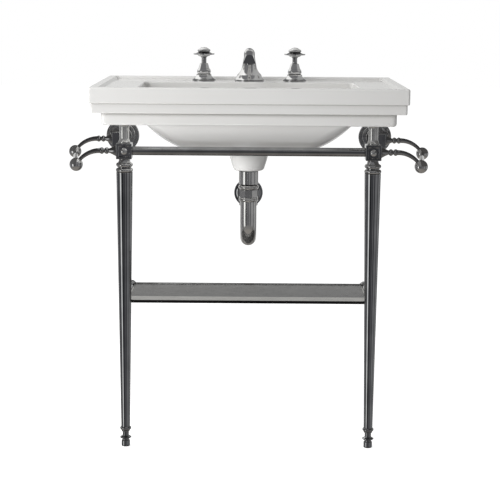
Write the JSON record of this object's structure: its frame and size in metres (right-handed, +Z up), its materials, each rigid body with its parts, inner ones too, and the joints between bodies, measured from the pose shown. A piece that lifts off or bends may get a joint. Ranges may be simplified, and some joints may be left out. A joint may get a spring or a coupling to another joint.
{
  "type": "console sink with legs",
  "caption": "Stepped rectangular ceramic console basin on a chrome washstand with turned front legs, side towel rails, a low shelf, deck taps, a spout and a U-bend trap.",
  "frame": {"origin": "on the floor under the middle of the whole object; the wall is the plane at +Y = 0.25 m", "axes": "+X the user's right, +Y towards the wall, +Z up; the user stands at -Y"},
  "size_m": [0.9198, 0.5, 0.952],
  "materials": {
    "ceramic": "gloss white glaze",
    "chrome": "polished chrome",
    "shelf_metal": "polished flat bar",
    "panel": "dark glossy shelf panel",
    "index": "white ceramic button",
    "rubber": "black rubber",
    "brass": "turned brass fixings"
  },
  "bodies": {
    "stand": {"basin": "ceramic", "front_bar": "chrome", "shelf_frame": "shelf_metal", "shelf_panel": "panel", "shelf_rear_rail": "chrome", "shelf_knobs": "chrome", "block_buttons": "chrome", "support_pads": "rubber", "leg_collars": "chrome", "foot_ferrules": "chrome", "wall_posts": "chrome", "waste_body": "chrome", "waste_seal": "rubber", "waste_sleeve": "chrome", "trap_nut": "chrome", "trap_bend": "chrome", "trap_union_nut": "chrome", "outlet_pipe": "chrome", "trap_wall_flange": "chrome", "deck_washers": "rubber", "deck_nuts": "brass", "tap_flanges": "chrome", "tap_bonnets": "chrome", "link_pipes": "chrome", "spout": "chrome", "spout_flange": "chrome", "aerator": "chrome", "corner_block_left": "chrome", "rear_block_left": "chrome", "basin_support_left": "chrome", "leg_left": "chrome", "front_arm_left": "chrome", "rear_arm_left": "chrome", "rail_balls_left": "chrome", "towel_rod_left": "chrome", "wall_rosette_left": "chrome", "shelf_side_rod_left": "chrome", "tap_valve_left": "chrome", "corner_block_right": "chrome", "rear_block_right": "chrome", "basin_support_right": "chrome", "leg_right": "chrome", "front_arm_right": "chrome", "rear_arm_right": "chrome", "rail_balls_right": "chrome", "towel_rod_right": "chrome", "wall_rosette_right": "chrome", "shelf_side_rod_right": "chrome", "tap_valve_right": "chrome"},
    "hot_handle": {"tap_handle_left": "chrome", "tap_index_left": "index", "tap_spindle_left": "chrome"},
    "cold_handle": {"tap_handle_right": "chrome", "tap_index_right": "index", "tap_spindle_right": "chrome"},
    "plug": {"waste_plug": "chrome"},
    "left_foot": {"levelling_foot_left": "chrome"},
    "right_foot": {"levelling_foot_right": "chrome"}
  },
  "joints": [
    {"name": "hot_tap_turn", "type": "hinge", "parent": "stand", "child": "hot_handle", "pos_m": [-0.116, 0.182, 0.92], "axis": [0, 0, 1], "range_deg": [0, 90]},
    {"name": "cold_tap_turn", "type": "hinge", "parent": "stand", "child": "cold_handle", "pos_m": [0.116, 0.182, 0.92], "axis": [0, 0, 1], "range_deg": [-90, 0]},
    {"name": "plug_lift", "type": "slide", "parent": "stand", "child": "plug", "axis": [0, 0, 1], "range_m": [0, 0.009]},
    {"name": "left_foot_level", "type": "slide", "parent": "stand", "child": "left_foot", "axis": [0, 0, -1], "range_m": [-0.008, 0.008]},
    {"name": "right_foot_level", "type": "slide", "parent": "stand", "child": "right_foot", "axis": [0, 0, -1], "range_m": [-0.008, 0.008]}
  ]
}
